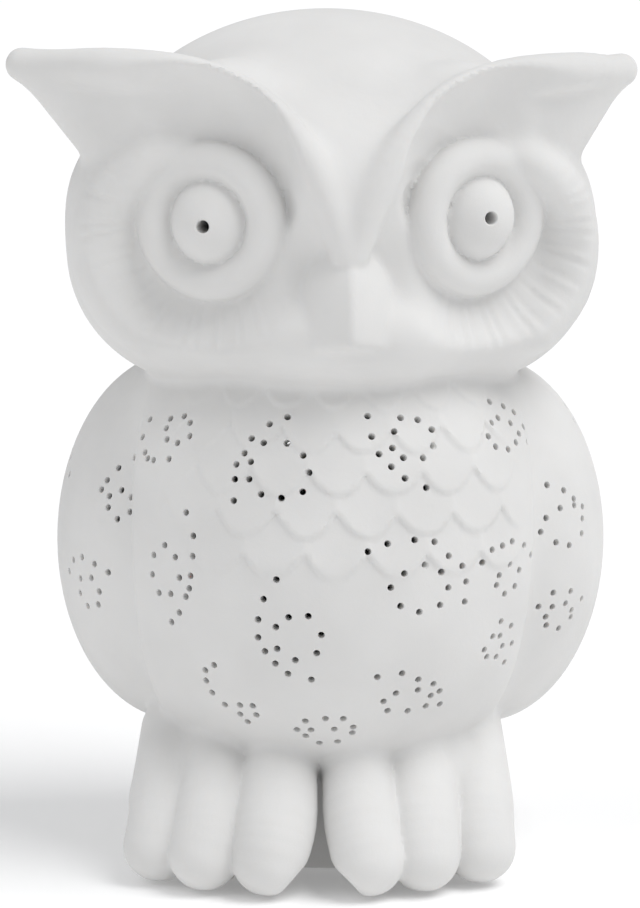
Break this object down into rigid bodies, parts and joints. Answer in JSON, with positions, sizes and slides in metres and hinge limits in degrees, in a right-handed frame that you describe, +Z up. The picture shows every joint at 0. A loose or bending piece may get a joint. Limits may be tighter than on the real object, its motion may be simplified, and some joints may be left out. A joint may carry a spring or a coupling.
{
  "type": "owl lamp",
  "caption": "Hollow perforated bisque-porcelain owl on two feet, used as a small table light, with a screw-base bulb on a spring-clipped lamp unit inside it.",
  "frame": {"origin": "on the table, under the middle of the overall box", "axes": "+Z up, the owl's face looks along -Y, +X is on the owl's left"},
  "size_m": [0.1986, 0.1509, 0.275],
  "materials": {
    "bisque": "unglazed matt bisque porcelain, very fine grain, warm white",
    "felt": "pressed wool felt, off-white",
    "zinc_steel": "zinc-plated pressed steel, satin",
    "spring_steel": "tempered spring steel, lightly oiled",
    "brass": "plain pressed brass",
    "phenolic": "moulded thermoset, semi-gloss white",
    "steatite": "pressed steatite ceramic, matt cream",
    "nickel": "nickel-plated thin sheet",
    "frosted_glass": "soft inside-frosted glass",
    "clear_glass": "clear lead glass",
    "vitrite": "black vitrified insulator, glossy",
    "tungsten": "coiled tungsten wire, dark grey"
  },
  "bodies": {
    "lamp_unit": {"mounting_plate": "zinc_steel", "clip_rivet_1": "zinc_steel", "clip_rivet_2": "zinc_steel", "clip_rivet_3": "zinc_steel", "threaded_nipple": "zinc_steel", "lock_washer": "spring_steel", "nipple_nut": "zinc_steel", "cord_bushing": "phenolic", "lampholder_cap": "phenolic", "lampholder_skirt": "phenolic", "contact_carrier": "steatite", "terminal_screw_1": "brass", "terminal_screw_2": "brass", "screw_shell": "brass", "centre_contact": "brass"},
    "owl": {"porcelain_shell": "bisque", "felt_pad_1": "felt", "felt_pad_2": "felt", "felt_pad_3": "felt", "felt_pad_4": "felt"},
    "clip_1": {"spring_clip_1": "spring_steel"},
    "clip_2": {"spring_clip_2": "spring_steel"},
    "clip_3": {"spring_clip_3": "spring_steel"},
    "bulb_tip": {"bulb_contact": "nickel"},
    "bulb": {"bulb_insulator": "vitrite", "bulb_cap": "nickel", "bulb_glass": "frosted_glass", "bulb_stem": "clear_glass", "lead_wire_1": "nickel", "lead_wire_2": "nickel", "filament": "tungsten"}
  },
  "joints": [
    {"name": "owl_lift", "type": "slide", "parent": "lamp_unit", "child": "owl", "axis": [0, 0, 1], "range_m": [0, 0.12]},
    {"name": "clip_1_flex", "type": "hinge", "parent": "lamp_unit", "child": "clip_1", "pos_m": [0.00275, 0.0305, 0.0103], "axis": [1, 0, 0], "range_deg": [0, 5], "stiffness_Nm_per_rad": 0.06, "springref_deg": -5.73},
    {"name": "clip_2_flex", "type": "hinge", "parent": "lamp_unit", "child": "clip_2", "pos_m": [-0.01414, 0.00125, 0.0103], "axis": [-0.5, 0.866, 0], "range_deg": [0, 5], "stiffness_Nm_per_rad": 0.06, "springref_deg": -5.73},
    {"name": "clip_3_flex", "type": "hinge", "parent": "lamp_unit", "child": "clip_3", "pos_m": [0.01964, 0.00125, 0.0103], "axis": [-0.5, -0.866, 0], "range_deg": [0, 5], "stiffness_Nm_per_rad": 0.06, "springref_deg": -5.73},
    {"name": "bulb_lift", "type": "slide", "parent": "lamp_unit", "child": "bulb_tip", "axis": [0, 0, 1], "range_m": [0, 0.0115]},
    {"name": "bulb_turn", "type": "hinge", "parent": "bulb_tip", "child": "bulb", "pos_m": [0.00275, 0.011, 0.06], "axis": [0, 0, 1], "range_deg": [0, 1440]}
  ],
  "couplings": [
    {"joint": "bulb_lift", "follows": "bulb_turn", "m_per_rad": 0.00044913}
  ]
}
